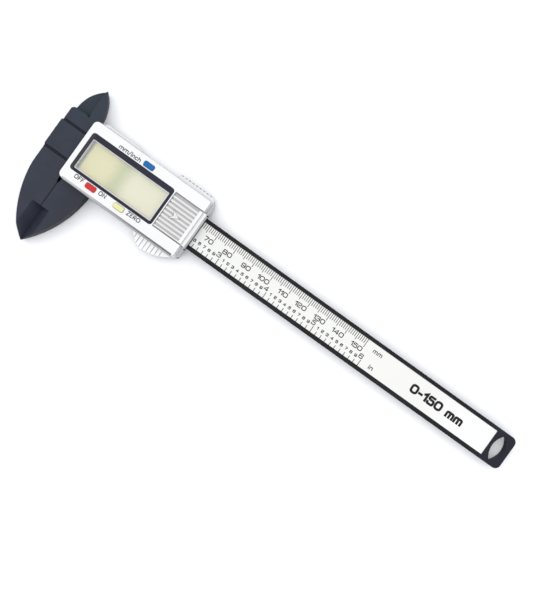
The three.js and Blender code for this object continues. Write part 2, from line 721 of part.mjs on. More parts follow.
place(slidingHalf, "capacitor_1", capacitor(9.9), ceramicTan);
place(slidingHalf, "capacitor_2", capacitor(-9.9), ceramicTan);

for (const spec of BUTTONS) {
  place(slidingHalf, `button_${spec.name}`, button(spec), finish(spec.colour, 0.35));
  place(slidingHalf, `dome_${spec.name}`, snapDome(spec), steel);
}

CASE_SCREWS.forEach(([x, y], i) => {
  const made = screw(1.8, 1.1, CASE_SHANK, 10.4);
  place(slidingHalf, `case_screw_${i + 1}`, made, steel, [x, y, 0.38]);
});
BOARD_SCREWS.forEach(([x, y], i) => {
  const made = screw(1.3, 0.8, BOARD_SHANK, 4.4);
  place(slidingHalf, `board_screw_${i + 1}`, made, steel, [x, y, BOARD_BACK - 0.85]);
});

export default caliper;
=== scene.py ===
"""Looks of a digital caliper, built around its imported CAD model.

Sizes below are in millimetres, in caliper coordinates: x runs along the beam from the fixed
jaw's measuring face, y across the beam from its centreline, z up from the rear face.
"""

import json
import math

import bmesh
import bpy
from mathutils import Matrix, Vector


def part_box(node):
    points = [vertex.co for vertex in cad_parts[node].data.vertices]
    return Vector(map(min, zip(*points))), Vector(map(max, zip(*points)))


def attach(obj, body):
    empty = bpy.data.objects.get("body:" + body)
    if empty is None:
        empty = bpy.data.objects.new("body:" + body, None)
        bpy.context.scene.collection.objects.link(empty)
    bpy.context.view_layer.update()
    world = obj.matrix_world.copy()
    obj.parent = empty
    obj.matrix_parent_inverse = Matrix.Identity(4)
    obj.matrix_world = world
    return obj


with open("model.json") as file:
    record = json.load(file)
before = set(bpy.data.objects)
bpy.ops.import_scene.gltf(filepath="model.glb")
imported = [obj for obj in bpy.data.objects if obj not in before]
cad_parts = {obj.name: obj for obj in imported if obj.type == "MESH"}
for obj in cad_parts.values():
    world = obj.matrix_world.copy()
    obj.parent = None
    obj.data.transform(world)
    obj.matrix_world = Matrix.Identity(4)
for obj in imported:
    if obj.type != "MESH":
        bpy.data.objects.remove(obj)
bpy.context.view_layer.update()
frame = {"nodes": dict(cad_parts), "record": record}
nodes = frame["nodes"]

MM = 0.001

# The beam's far end lies this far along the scale, which gives the scale's zero in the frame.
BEAM_END = 228.8
beam_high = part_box("main_beam")[1]
label_low, label_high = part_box("ruler_label")
ZERO = Vector((beam_high.x - BEAM_END * MM, (label_low.y + label_high.y) / 2, 0))


def at(x, y, z=0.0):
    """A point in caliper millimetres, in the frame's metres."""
    return ZERO + Vector((x, y, z)) * MM


def extent(name):
    """A CAD node's box, as x0, x1, y0, y1, z0 and z1 in caliper millimetres."""
    low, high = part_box(name)
    return [round((side[i] - ZERO[i]) / MM, 3) for i in range(3) for side in (low, high)]


LABEL_START, LABEL_STOP, BOTTOM_EDGE, TOP_EDGE, _, LABEL_TOP = extent("ruler_label")
*WINDOW, _, WINDOW_TOP = extent("display_window")
JAW_FRONT = extent("main_beam")[-1]
COVER_TOP = extent("front_cover")[-1]
DOOR_START = extent("battery_cover")[0]

# The finger grooves across the battery cover.
FIRST_GROOVE_Y = -6.65
RIB_PITCH = 1.86

# ---------------------------------------------------------------- materials


class Graph:
    """A short way to write a material's nodes."""

    def __init__(self, name, colour):
        self.material = bpy.data.materials.new(name)
        self.material.use_nodes = True
        self.material.diffuse_color = (*colour, 1)
        self.tree = self.material.node_tree
        self.shader = self.tree.nodes["Principled BSDF"]
        self.shader.inputs["Base Color"].default_value = (*colour, 1)
        self.place = self.tree.nodes.new("ShaderNodeTexCoord").outputs["Object"]

    def new(self, kind, **settings):
        node = self.tree.nodes.new("ShaderNode" + kind)
        for key, value in settings.items():
            setattr(node, key, value)
        return node

    def link(self, a, b):
        self.tree.links.new(a, b)

    def put(self, socket, value):
        if isinstance(value, bpy.types.NodeSocket):
            self.link(value, socket)
        else:
            socket.default_value = value

    def noise(self, scale, detail=3.0, stretch=None):
        """A cloudy pattern, squeezed along x, y and z where stretch is given."""
        node = self.new("TexNoise")
        node.inputs["Scale"].default_value = scale
        node.inputs["Detail"].default_value = detail
        node.inputs["Roughness"].default_value = 0.55
        self.link(self.spread(stretch), node.inputs["Vector"])
        return node.outputs["Fac"]

    def spread(self, stretch):
        if stretch is None:
            return self.place
        node = self.new("Mapping")
        node.inputs["Scale"].default_value = stretch
        self.link(self.place, node.inputs["Vector"])
        return node.outputs["Vector"]

    def ramp(self, value, low, high, to_low=0.0, to_high=1.0, smooth=True):
        node = self.new("MapRange", interpolation_type="SMOOTHSTEP" if smooth else "LINEAR")
        for key, given in (("Value", value), ("From Min", low), ("From Max", high),
                           ("To Min", to_low), ("To Max", to_high)):
            self.put(node.inputs[key], given)
        return node.outputs["Result"]

    def between(self, noise, low=0.0, high=1.0):
        """Goes from low to high with a noise, whose values lie mostly from 0.3 to 0.7."""
        return self.ramp(noise, 0.3, 0.7, low, high)

    def split(self, vector):
        """The X, Y and Z sockets of a vector."""
        node = self.new("SeparateXYZ")
        self.link(vector, node.inputs[0])
        return node.outputs

    def along(self, axis, start, end, to_start=0.0, to_end=1.0):
        """Goes from one value to another between two places on an axis, in caliper millimetres."""
        i = "XYZ".index(axis)
        return self.ramp(self.split(self.place)[i], at(start, start, start)[i],
                         at(end, end, end)[i], to_start, to_end)

    def away(self, axis, near, far, to_near, to_far):
        """Goes from one value to another with the distance from an axis's zero, in millimetres."""
        i = "XYZ".index(axis)
        offset = self.math("SUBTRACT", self.split(self.place)[i], ZERO[i])
        return self.ramp(self.math("ABSOLUTE", offset), near * MM, far * MM, to_near, to_far)

    def facing(self, low, high, to_low=0.0, to_high=1.0):
        """Goes from one value to another as the surface turns to face up."""
        normal = self.new("NewGeometry").outputs["Normal"]
        return self.ramp(self.split(normal)["Z"], low, high, to_low, to_high)

    def all_of(self, *shares):
        """The product of several shares, so it is full only where they all are."""
        made = shares[0]
        for share in shares[1:]:
            made = self.math("MULTIPLY", made, share)
        return made

    def mix(self, share, a, b):
        node = self.new("Mix", data_type="RGBA")
        self.put(node.inputs["Factor"], share)
        for key, colour in (("A", a), ("B", b)):
            socket = next(s for s in node.inputs if s.name == key and s.type == "RGBA")
            self.put(socket, (*colour, 1) if isinstance(colour, tuple) else colour)
        return next(s for s in node.outputs if s.type == "RGBA")

    def math(self, operation, a, b=0.0):
        node = self.new("Math", operation=operation)
        self.put(node.inputs[0], a)
        self.put(node.inputs[1], b)
        return node.outputs[0]

    def bump(self, height, distance, strength=1.0):
        node = self.new("Bump")
        node.inputs["Strength"].default_value = strength
        node.inputs["Distance"].default_value = distance
        self.link(height, node.inputs["Height"])
        self.link(node.outputs["Normal"], self.shader.inputs["Normal"])

    def set(self, **inputs):
        for key, value in inputs.items():
            self.put(self.shader.inputs[key.replace("_", " ")], value)


def grained(name, colour, rough=(0.4, 0.55), grain=2600, height=0.01, cloud=90, vary=0.12,
            gloss=0.5):
    """Moulded plastic or paint: a fine grain, and slow changes of tone and gloss."""
    g = Graph(name, colour)
    fine = g.noise(grain, 2.0)
    slow = g.noise(cloud, 4.0)
    dark = tuple(c * (1 - vary) for c in colour)
    light = tuple(c * (1 + vary) for c in colour)
    tone = g.mix(g.between(slow), dark, light)
    fleck = g.mix(g.ramp(fine, 0.35, 0.65, 0.0, 0.5), tone, colour)
    g.set(Base_Color=fleck, Roughness=g.between(slow, *rough), Specular_IOR_Level=gloss)
    g.bump(fine, height * MM)
    return g.material


def brushed(name, colour):
    """Metal with fine lines along x."""
    g = Graph(name, colour)
    lines = g.noise(1.0, 3.0, stretch=(60, 1800, 1800))
    dark = tuple(c * 0.8 for c in colour)
    g.set(Base_Color=g.mix(g.between(lines), dark, colour), Roughness=g.between(lines, 0.22, 0.4),
          Metallic=1.0)
    g.bump(lines, 0.004 * MM)
    return g.material


def display_glass():
    """The reflective display: warm at the left, a greener band left of the middle and cream at the
    right, all painted reflection, and painted shadow along the cell's left edge.
    """
    g = Graph("display_grey_green", (0.72, 0.73, 0.55))
    left, right = 3.9, 42.5

    def share(t):
        return left + (right - left) * t

    warm = (0.535, 0.497, 0.24)
    green = (0.357, 0.376, 0.173)
    cream = (0.575, 0.555, 0.385)
    grey = (0.085, 0.09, 0.085)
    # Painted reflection: warm at the left, a greener band left of the middle, cream at the right.
    base = g.mix(g.along("X", share(0.29), share(0.46)), warm, green)
    base = g.mix(g.along("X", share(0.45), share(0.63)), base, cream)
    # Painted shadow of the window's lip along the cell's left edge.
    base = g.mix(g.along("X", share(0.045), share(0.008), 0.0, 0.9), base, grey)
    dots = g.noise(3000, 2.0)
    base = g.mix(g.between(dots, 0.0, 0.12), base, (0.5, 0.52, 0.38))
    g.set(Base_Color=base, Roughness=g.between(g.noise(200), 0.3, 0.4))
    g.bump(dots, 0.003 * MM)
    return g.material


def frame_ink():
    """The dark print round the display, a little paler at its left side."""
    g = Graph("display_frame_ink", (0.0128, 0.0132, 0.026))
    slow = g.noise(160, 4.0)
    tone = g.mix(g.between(slow), (0.0116, 0.012, 0.0238), (0.014, 0.0144, 0.0282))
    tone = g.mix(g.along("X", 4, 2.6), tone, (0.0265, 0.0265, 0.032))
    fine = g.noise(3600, 2.0)
    g.set(Base_Color=tone, Roughness=g.between(slow, 0.58, 0.7), Specular_IOR_Level=0.25)
    g.bump(fine, 0.006 * MM)
    return g.material


def clear_plastic():
    g = Graph("clear_acrylic", (0.95, 0.97, 0.96))
    g.set(Roughness=g.between(g.noise(150), 0.02, 0.06), IOR=1.49, Alpha=0.1)
    g.bump(g.noise(60), 0.01 * MM, 0.2)
    return g.material


def composite():
    """Fibre-filled black plastic, with a painted bluish sheen that makes it a little bluer and
    lighter at the jaws than along the beam.
    """
    g = Graph("dark_composite", (0.026, 0.03, 0.042))
    fibres = g.noise(1.0, 3.0, stretch=(900, 2600, 2600))
    slow = g.noise(110, 4.0)
    tone = g.mix(g.between(slow), (0.0193, 0.0238, 0.0347), (0.0278, 0.0328, 0.0475))
    # Painted sheen: the head's upper part and the inside jaws are painted bluer and lighter than the
    # beam.
    tone = g.mix(g.along("Y", 3, 15, 0.0, 0.55), tone, (0.0225, 0.0335, 0.0445))
    tone = g.mix(g.along("X", -4, 60), tone, (0.0058, 0.0058, 0.0075))
    tone = g.mix(g.along("X", 205, 222), tone, (0.009, 0.011, 0.019))
    tone = g.mix(g.ramp(fibres, 0.62, 0.8, 0.0, 0.3), tone, (0.05, 0.055, 0.065))
    # Painted light: the knife bevels at the long jaws' tips are painted paler.
    knife = g.all_of(g.along("Y", -29.6, -29.3, 0.45, 0.0),
                     g.along("Z", JAW_FRONT - 0.4, JAW_FRONT - 0.1, 1.0, 0.0))
    tone = g.mix(knife, tone, (0.033, 0.036, 0.052))
    # Painted shade: the head's hollows and its steep sides are painted darker.
    hollow = g.along("Z", JAW_FRONT - 0.9, JAW_FRONT - 0.15, 0.1, 0.0)
    steep = g.all_of(g.away("Y", 9, 9.5, 0.72, 0.97), g.facing(0.3, 0.6, 1.0, 0.0))
    head = g.all_of(g.along("X", 14, 20, 1.0, 0.0), g.along("Y", 12, 15, 1.0, 0.3))
    painted_head_shade = g.all_of(g.math("MAXIMUM", hollow, steep), head)
    # Painted shade darkens the line where the long jaws meet, too.
    seam = g.all_of(g.away("X", 0.18, 0.4, 0.8, 0.0), g.along("Y", -17, -15, 1.0, 0.0),
                    g.along("Y", -31, -29, 0.15, 1.0))
    tone = g.mix(g.math("MAXIMUM", painted_head_shade, seam), tone, (0.003, 0.0035, 0.006))
    g.set(Base_Color=tone, Roughness=g.between(slow, 0.5, 0.64), Specular_IOR_Level=0.19)
    g.bump(fibres, 0.012 * MM)
    return g.material


def shell_paint():
    """Silver paint over plastic, with painted shade greying its grooves and its steep sides."""
    g = Graph("silver_paint", (0.65, 0.65, 0.65))
    fine = g.noise(5200, 2.0)
    slow = g.noise(60, 4.0)
    tone = g.mix(g.between(slow), (0.62, 0.622, 0.62), (0.65, 0.652, 0.65))
    # Painted shade: the steep sides are greyer, and so is the low part of the slider's end.
    end = g.all_of(g.along("X", 60.1, 60.5, 0.0, 0.65), g.along("Z", 8.7, 8.75, 1.0, 0.0))
    shade = g.all_of(g.math("MAXIMUM", g.facing(0.15, 0.8, 0.42, 0.0), end),
                     g.away("Y", 8.2, 8.7, 0.2, 1.0))
    tone = g.mix(shade, tone, (0.30, 0.30, 0.31))
    # Painted light: the ledge along the lower edge is painted paler, lifting the shade under the
    # cover's overhang.
    ledge_light = g.all_of(g.along("Y", -15.4, -14.9, 0.75, 0.0), g.facing(0.6, 0.9))
    tone = g.mix(ledge_light, tone, (0.75, 0.75, 0.75))
    # Painted shade on the ribbed door: each rib is painted brightest at its lower edge and darker up
    # to the next groove, and the door darker than the rest.
    door = g.along("X", DOOR_START - 0.2, DOOR_START - 0.1)
    ribbed = g.all_of(door, g.along("X", 58.3, 58.4, 1.0, 0.0), g.along("Z", 13.1, 13.2),
                      g.along("Y", -8.17, -8.13), g.along("Y", 9.13, 9.17, 1.0, 0.0))
    past_groove = g.math("SUBTRACT", g.split(g.place)["Y"], at(0, FIRST_GROOVE_Y).y)
    rib = g.math("FRACT", g.math("DIVIDE", past_groove, RIB_PITCH * MM))
    rib_shade = g.mix(g.ramp(rib, 0.3, 1.0, smooth=False), (0.575, 0.572, 0.563), (0.515, 0.512, 0.503))
    tone = g.mix(ribbed, tone, rib_shade)
    # Painted shade in the floors of the door's grooves.
    groove = g.all_of(g.along("Z", 13.45, 13.75, 0.75, 0.0), g.along("Z", 13.2, 13.3), door)
    tone = g.mix(groove, tone, (0.33, 0.33, 0.325))
    g.set(Base_Color=tone, Roughness=g.between(slow, 0.32, 0.4), Metallic=0.12,
          Coat_Weight=0.2, Coat_Roughness=0.15)
    g.bump(fine, 0.004 * MM)
    return g.material


def label_film():
    """Printed white film, greyer at the scale's low end and paler towards the beam's far end, with
    painted light beside the slider that lifts the slider's shadow.
    """
    g = Graph("label_film", (0.69, 0.695, 0.672))
    tone = g.mix(g.along("X", 95, 165), (0.655, 0.66, 0.637), (0.68, 0.683, 0.655))
    tone = g.mix(g.along("X", 180, 215), tone, (0.735, 0.735, 0.72))
    # Painted light beside the slider, lifting the shadow it casts on the film.
    tone = g.mix(g.along("X", 63, 72, 0.8, 0.0), tone, (0.76, 0.765, 0.74))
    slow = g.noise(45, 4.0)
    tone = g.mix(g.between(slow, 0.0, 0.4), tone, (0.68, 0.683, 0.655))
    fine = g.noise(2400, 2.0)
    g.set(Base_Color=tone, Roughness=g.between(slow, 0.38, 0.46))
    g.bump(fine, 0.004 * MM)
    return g.material


def edge_rubber():
    """A dark line of painted shade, painted paler towards the jaws."""
    g = Graph("edge_rubber", (0.12, 0.12, 0.125))
    tone = g.mix(g.along("X", 4, 50), (0.42, 0.42, 0.43), (0.10, 0.10, 0.105))
    fine = g.noise(2600)
    tone = g.mix(g.ramp(fine, 0.4, 0.7, 0.0, 0.3), tone, (0.3, 0.3, 0.31))
    g.set(Base_Color=tone, Roughness=0.7)
    g.bump(fine, 0.01 * MM)
    return g.material


def button_rubber(name, colour, **settings):
    return grained(name, colour, cloud=700, height=0.006, **settings)


MATERIALS = {
    "jaw_plastic": composite(),
    "silver_paint": shell_paint(),
    "label_film": label_film(),
    "circuit_board": grained("solder_mask", (0.03, 0.17, 0.06), cloud=300),
    "window_clear": clear_plastic(),
    "lcd_glass": display_glass(),
    "holder_black": grained("black_holder", (0.02, 0.02, 0.024)),
    "zebra_rubber": grained("zebra_rubber", (0.42, 0.2, 0.24), rough=(0.7, 0.85)),
    "epoxy_black": grained("black_epoxy", (0.008, 0.008, 0.01), rough=(0.12, 0.3)),
    "steel": brushed("plated_steel", (0.62, 0.63, 0.65)),
    "spring_bronze": brushed("spring_bronze", (0.6, 0.36, 0.14)),
    "ceramic_tan": grained("ceramic_tan", (0.35, 0.22, 0.11)),
    "button_blue": button_rubber("blue_rubber", (0.001, 0.105, 0.31), vary=0.1, gloss=0.2),
    "button_red": button_rubber("red_rubber", (0.49, 0.022, 0.022), vary=0.1, gloss=0.2),
    "button_yellow": button_rubber("yellow_rubber", (0.595, 0.595, 0.295), vary=0.06),
}
INK = grained("printing_ink", (0.007, 0.007, 0.009), rough=(0.55, 0.7), grain=4000, height=0.003,
              gloss=0.2)
FRAME_INK = frame_ink()
TICK_INK = grained("tick_ink", (0.035, 0.035, 0.037), rough=(0.45, 0.6), grain=4000, height=0.003)
PALE_INK = grained("pale_rim_ink", (0.56, 0.56, 0.57), rough=(0.4, 0.5), grain=3600, height=0.003)
GREY_INK = grained("grey_ink", (0.012, 0.012, 0.014), rough=(0.45, 0.6), grain=4000, height=0.003)
SEAM_INK = grained("seam_rubber", (0.12, 0.12, 0.125), rough=(0.5, 0.7), cloud=90, vary=0.35)
FAINT_LINE = grained("faint_line", (0.2, 0.2, 0.205), rough=(0.5, 0.7), cloud=90, vary=0.2)
EDGE_LINE = edge_rubber()
END_SHADOW = grained("end_shadow_paint", (0.010, 0.010, 0.013), rough=(0.7, 0.9), grain=4200, height=0.02)

for row in frame["record"]["subparts"]:
    piece = nodes[row["node"]]
    piece.data.materials.clear()
    piece.data.materials.append(MATERIALS[row["material_slot"]])
    for face in piece.data.polygons:
        face.material_index = 0


# ---------------------------------------------------------------- making pieces


def soften(name, width):
    """Rounds a CAD node's hard edges."""
    piece = nodes[name]
    weld = piece.modifiers.new("weld", "WELD")
    weld.merge_threshold = 0.002 * MM
    flat = piece.modifiers.new("flat", "DECIMATE")
    flat.decimate_type = "DISSOLVE"
    flat.angle_limit = math.radians(1.0)
    bevel = piece.modifiers.new("bevel", "BEVEL")
    bevel.width = width * MM
    bevel.segments = 3
    bevel.limit_method = "ANGLE"
    bevel.angle_limit = math.radians(32)
    bevel.harden_normals = True
    bevel.use_clamp_overlap = True
    even = piece.modifiers.new("even", "WEIGHTED_NORMAL")
    even.weight = 100
    piece.data.shade_smooth()


def add(name, mesh, body, material):
    """Shows a mesh as a visual piece that rides a body."""
    piece = bpy.data.objects.new(name, mesh)
    bpy.context.scene.collection.objects.link(piece)
    mesh.materials.clear()
    mesh.materials.append(material)
    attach(piece, body)


def bar(bm, x0, x1, y0, y1, z0, z1):
    """Adds one upright block, in caliper millimetres."""
    low, high = at(x0, y0, z0), at(x1, y1, z1)
    middle, size = (low + high) / 2, high - low
    matrix = Matrix.Translation(middle) @ Matrix.Diagonal((*size, 1))
    bmesh.ops.create_cube(bm, size=1, matrix=matrix)


def finished(bm, name):
    """Turns what was built in bm into a mesh."""
    mesh = bpy.data.meshes.new(name)
    bm.to_mesh(mesh)
    bm.free()
    return mesh


def rounded(x0, x1, y0, y1, radius, steps=8):
    """The outline of a rounded rectangle, anticlockwise."""
    points = []
    for cx, cy, start in ((x1 - radius, y1 - radius, 0), (x0 + radius, y1 - radius, 90),
                          (x0 + radius, y0 + radius, 180), (x1 - radius, y0 + radius, 270)):
        for i in range(steps + 1):
            a = math.radians(start + 90 * i / steps)
            points.append((cx + radius * math.cos(a), cy + radius * math.sin(a)))
    return points


def slab(name, outlines, z0, z1, bevel):
    """A flat piece with holes, between two heights, its upper and lower edges rounded."""
    curve = bpy.data.curves.new(name, "CURVE")
    curve.dimensions = "2D"
    curve.fill_mode = "BOTH"
    curve.extrude = ((z1 - z0) / 2 - bevel) * MM
    curve.bevel_depth = bevel * MM
    curve.bevel_resolution = 2
    curve.offset = -bevel * MM
    for outline in outlines:
        spline = curve.splines.new("POLY")
        spline.points.add(len(outline) - 1)
        for point, (x, y) in zip(spline.points, outline):
            point.co = (*at(x, y), 1)
        spline.use_cyclic_u = True
    shown = bpy.data.objects.new(name, curve)
    bpy.context.scene.collection.objects.link(shown)
    bpy.context.view_layer.update()
    mesh = bpy.data.meshes.new_from_object(shown.evaluated_get(bpy.context.evaluated_depsgraph_get()))
    mesh.transform(Matrix.Translation((0, 0, (z0 + z1) / 2 * MM)))
    bpy.data.objects.remove(shown)
    bpy.data.curves.remove(curve)
    return mesh


def rope(bm, points, radius):
    """Adds a round bar along points, with closed flat ends, in caliper millimetres."""
    sides = 10
    rings = []
    places = [at(*p) for p in points]
    for i, place in enumerate(places):
        ahead = places[min(i + 1, len(places) - 1)] - places[max(i - 1, 0)]
        turn = ahead.to_track_quat("Z", "Y").to_matrix()
        rings.append([bm.verts.new(place + turn @ Vector((
            radius * MM * math.cos(2 * math.pi * k / sides),
            radius * MM * math.sin(2 * math.pi * k / sides), 0))) for k in range(sides)])
    for a, b in zip(rings, rings[1:]):
        for k in range(sides):
            bm.faces.new((a[k], a[(k + 1) % sides], b[(k + 1) % sides], b[k]))
    bm.faces.new(rings[0][::-1])
    bm.faces.new(rings[-1])


CORNER_STEPS = 3
CORNER_SHARE = 0.48  # a corner takes less than half of each side, so that two never meet


def rounded_path(points, radius, closed):
    """A polyline with its corners rounded."""
    if radius <= 0:
        return points
    made = []
    n = len(points)
    for i, (px, py) in enumerate(points):
        if not closed and i in (0, n - 1):
            made.append((px, py))
            continue
        corner = Vector((px, py))
        back = Vector(points[i - 1]) - corner
        ahead = Vector(points[(i + 1) % n]) - corner
        r = min(radius, back.length * CORNER_SHARE, ahead.length * CORNER_SHARE)
        a = corner + back.normalized() * r
        b = corner + ahead.normalized() * r
        for k in range(CORNER_STEPS + 1):
            t = k / CORNER_STEPS
            made.append(tuple(a * (1 - t) ** 2 + corner * 2 * t * (1 - t) + b * t * t))
    return made


# Each sign is a list of strokes in a box one unit high: (points, corner radius, closed).
# The number before them is the sign's width.
SIGNS = {
    "0": (0.95, [([(0, 0), (0.95, 0), (0.95, 1), (0, 1)], 0.3, True)]),
    "1": (0.4, [([(0, 0.74), (0.4, 1), (0.4, 0)], 0, False)]),
    "2": (0.9, [([(0, 0.72), (0, 1), (0.9, 1), (0.9, 0.55), (0, 0.38), (0, 0), (0.9, 0)],
                0.22, False)]),
    "3": (0.9, [([(0, 0.76), (0, 1), (0.88, 1), (0.88, 0.53), (0.35, 0.53)], 0.22, False),
                ([(0.35, 0.53), (0.92, 0.53), (0.92, 0), (0, 0), (0, 0.24)], 0.22, False)]),
    "4": (0.95, [([(0.72, 0), (0.72, 1), (0, 0.27), (0.95, 0.27)], 0, False)]),
    "5": (0.9, [([(0.86, 1), (0.06, 1), (0.02, 0.6), (0.9, 0.6), (0.9, 0), (0, 0), (0, 0.22)],
                0.16, False)]),
    "6": (0.9, [([(0.88, 0.8), (0.88, 1), (0, 1), (0, 0), (0.9, 0), (0.9, 0.57), (0, 0.57)],
                0.24, False)]),
    "7": (0.9, [([(0, 1), (0.9, 1), (0.3, 0)], 0.05, False)]),
    "8": (0.9, [([(0, 0), (0.9, 0), (0.9, 0.53), (0, 0.53)], 0.16, True),
                ([(0.02, 0.53), (0.88, 0.53), (0.88, 1), (0.02, 1)], 0.16, True)]),
    "9": (0.9, [([(0.02, 0.2), (0.02, 0), (0.9, 0), (0.9, 1), (0, 1), (0, 0.43), (0.9, 0.43)],
                0.24, False)]),
    "-": (0.5, [([(0, 0.42), (0.5, 0.42)], 0, False)]),
    " ": (0.35, []),
    "/": (0.45, [([(0, -0.1), (0.45, 1.05)], 0, False)]),
    "m": (1.1, [([(0, 0), (0, 0.68), (1.1, 0.68), (1.1, 0)], 0.14, False),
                ([(0.55, 0), (0.55, 0.68)], 0, False)]),
    "n": (0.55, [([(0, 0), (0, 0.68), (0.55, 0.68), (0.55, 0)], 0.14, False)]),
    "h": (0.55, [([(0, 0), (0, 1.02)], 0, False),
                 ([(0, 0.68), (0.55, 0.68), (0.55, 0)], 0.14, False)]),
    "i": (0.0, [([(0, 0), (0, 0.66)], 0, False), ([(0, 0.88), (0, 1.0)], 0, False)]),
    "c": (0.55, [([(0.55, 0.55), (0.5, 0.66), (0, 0.66), (0, 0), (0.5, 0), (0.55, 0.11)],
                 0.22, False)]),
    "O": (1.0, [([(0, 0), (1.0, 0), (1.0, 1), (0, 1)], 0.48, True)]),
    "F": (0.6, [([(0.6, 1), (0, 1), (0, 0)], 0, False), ([(0, 0.53), (0.55, 0.53)], 0, False)]),
    "N": (0.8, [([(0, 0), (0, 1), (0.8, 0), (0.8, 1)], 0, False)]),
    "Z": (0.75, [([(0, 1), (0.75, 1), (0, 0), (0.75, 0)], 0, False)]),
    "E": (0.6, [([(0.6, 1), (0, 1), (0, 0), (0.6, 0)], 0, False),
                ([(0, 0.53), (0.55, 0.53)], 0, False)]),
    "R": (0.65, [([(0, 0), (0, 1), (0.65, 1), (0.65, 0.47), (0, 0.47)], 0.2, False),
                 ([(0.3, 0.47), (0.65, 0)], 0, False)]),
}

STROKE_THICK = 0.012
STROKE_STEP = 0.003  # each stroke of a sign lies this far above the one before, so none share a plane
END_REACH = 0.8  # how far an open stroke reaches past its line, in half widths
MITRE_LIMIT = 0.45  # keeps the mitre of a sharp corner short


def ribbon(bm, points, width, z, closed):
    """Adds one flat stroke, mitred at its corners, in caliper millimetres."""
    half = width / 2
    n = len(points)
    places = [Vector(p) for p in points]
    if not closed:
        places[0] = places[0] + (places[0] - places[1]).normalized() * half * END_REACH
        places[-1] = places[-1] + (places[-1] - places[-2]).normalized() * half * END_REACH
    rings = []
    for i, p in enumerate(places):
        before = places[i - 1] if closed or i else None
        after = places[(i + 1) % n] if closed or i < n - 1 else None
        d1 = (p - before).normalized() if before is not None else (after - p).normalized()
        d2 = (after - p).normalized() if after is not None else d1
        middle = (d1 + d2).normalized()
        side = Vector((-middle.y, middle.x))
        reach = half / max(MITRE_LIMIT, side.dot(Vector((-d1.y, d1.x))))
        left, right = p + side * reach, p - side * reach
        upper = z + STROKE_THICK
        rings.append([bm.verts.new(at(*left, upper)), bm.verts.new(at(*right, upper)),
                      bm.verts.new(at(*right, z)), bm.verts.new(at(*left, z))])
    spans = list(zip(rings, rings[1:])) + ([(rings[-1], rings[0])] if closed else [])
    for a, b in spans:
        for k in range(4):
            bm.faces.new((a[k], a[(k + 1) % 4], b[(k + 1) % 4], b[k]))
    if not closed:
        bm.faces.new(rings[0][::-1])
        bm.faces.new(rings[-1])


def lettering(bm, words, x, y, z, height, align, stretch, weight, gap=0.3):
    """Adds one line of drawn print standing on y.

    Its capitals are height tall and its strokes weight wide. Stretch widens the signs, and gap is
    the space between them, in heights.
    """
    wide = [SIGNS[c][0] * height * stretch for c in words]
    total = sum(wide) + gap * height * (len(words) - 1)
    x -= {"LEFT": 0, "CENTER": total / 2, "RIGHT": total}[align]
    tall = height - weight
    for c, w in zip(words, wide):
        for layer, (points, radius, closed) in enumerate(SIGNS[c][1]):
            path = rounded_path([(px * stretch, py) for px, py in points], radius, closed)
            ribbon(bm, [(x + px * height, y + weight / 2 + py * tall) for px, py in path],
                   weight, z + layer * STROKE_STEP, closed)
        x += w + gap * height


# ---------------------------------------------------------------- edges of the CAD pieces

soften("main_beam", 0.25)
soften("slider_jaw", 0.25)
soften("grip_frame", 0.2)
soften("front_cover", 0.35)
soften("battery_cover", 0.15)
for key in ("units", "power", "zero"):
    soften(f"button_{key}", 0.15)

# ---------------------------------------------------------------- the beam's print

SCALE_MM, SCALE_TENTHS = 150, 60
TENTH, INCH = 2.54, 25.4
MM_TICK, INCH_TICK = 0.32, 0.34
TEN_MM, FIVE_MM, ONE_MM = 4.2, 3.5, 2.7
ONE_INCH, ONE_TENTH = 3.0, 1.8
INK_TOP = LABEL_TOP + 0.014

bm = bmesh.new()
for mm in range(SCALE_MM + 1):
    length = TEN_MM if mm % 10 == 0 else FIVE_MM if mm % 5 == 0 else ONE_MM
    bar(bm, mm - MM_TICK / 2, mm + MM_TICK / 2, TOP_EDGE - length, TOP_EDGE, LABEL_TOP, INK_TOP)
for tenth in range(SCALE_TENTHS + 1):
    x = tenth * TENTH
    length = ONE_TENTH if tenth % 10 else ONE_INCH
    bar(bm, x - INCH_TICK / 2, x + INCH_TICK / 2, BOTTOM_EDGE, BOTTOM_EDGE + length, LABEL_TOP,
        INK_TOP)
add("ruler_ticks", finished(bm, "ruler_ticks"), "beam", TICK_INK)

bm = bmesh.new()
for mm in range(0, SCALE_MM + 1, 10):
    lettering(bm, str(mm), mm - 0.02, -0.42, LABEL_TOP, height=2.22, align="RIGHT",
              stretch=0.86, weight=0.4, gap=0.27)
for tenth in range(1, SCALE_TENTHS):
    if tenth % 10:
        lettering(bm, str(tenth % 10), tenth * TENTH - 0.53, -3.5, LABEL_TOP, height=1.4,
                  align="CENTER", stretch=0.78, weight=0.32)
for inch in range(SCALE_TENTHS // 10 + 1):
    lettering(bm, str(inch), inch * INCH - 0.05, -2.92, LABEL_TOP, height=2.25, align="RIGHT",
              stretch=0.82, weight=0.38)
lettering(bm, "mm", 154.7, 2.4, LABEL_TOP, height=2.1, align="LEFT", stretch=0.8, weight=0.34)
lettering(bm, "in", 157.0, -4.5, LABEL_TOP, height=2.1, align="LEFT", stretch=1.0, weight=0.36)
lettering(bm, "0-150 mm", 177.6, -2.1, LABEL_TOP, height=4.4, align="LEFT", stretch=0.66,
          weight=1.1, gap=0.27)
# A black line is printed along the label's lower edge.
bar(bm, LABEL_START + 0.05, LABEL_STOP - 0.05, BOTTOM_EDGE, BOTTOM_EDGE + 0.2, LABEL_TOP,
    INK_TOP + 0.002)
add("ruler_numbers", finished(bm, "ruler_numbers"), "beam", INK)

# ---------------------------------------------------------------- display frame

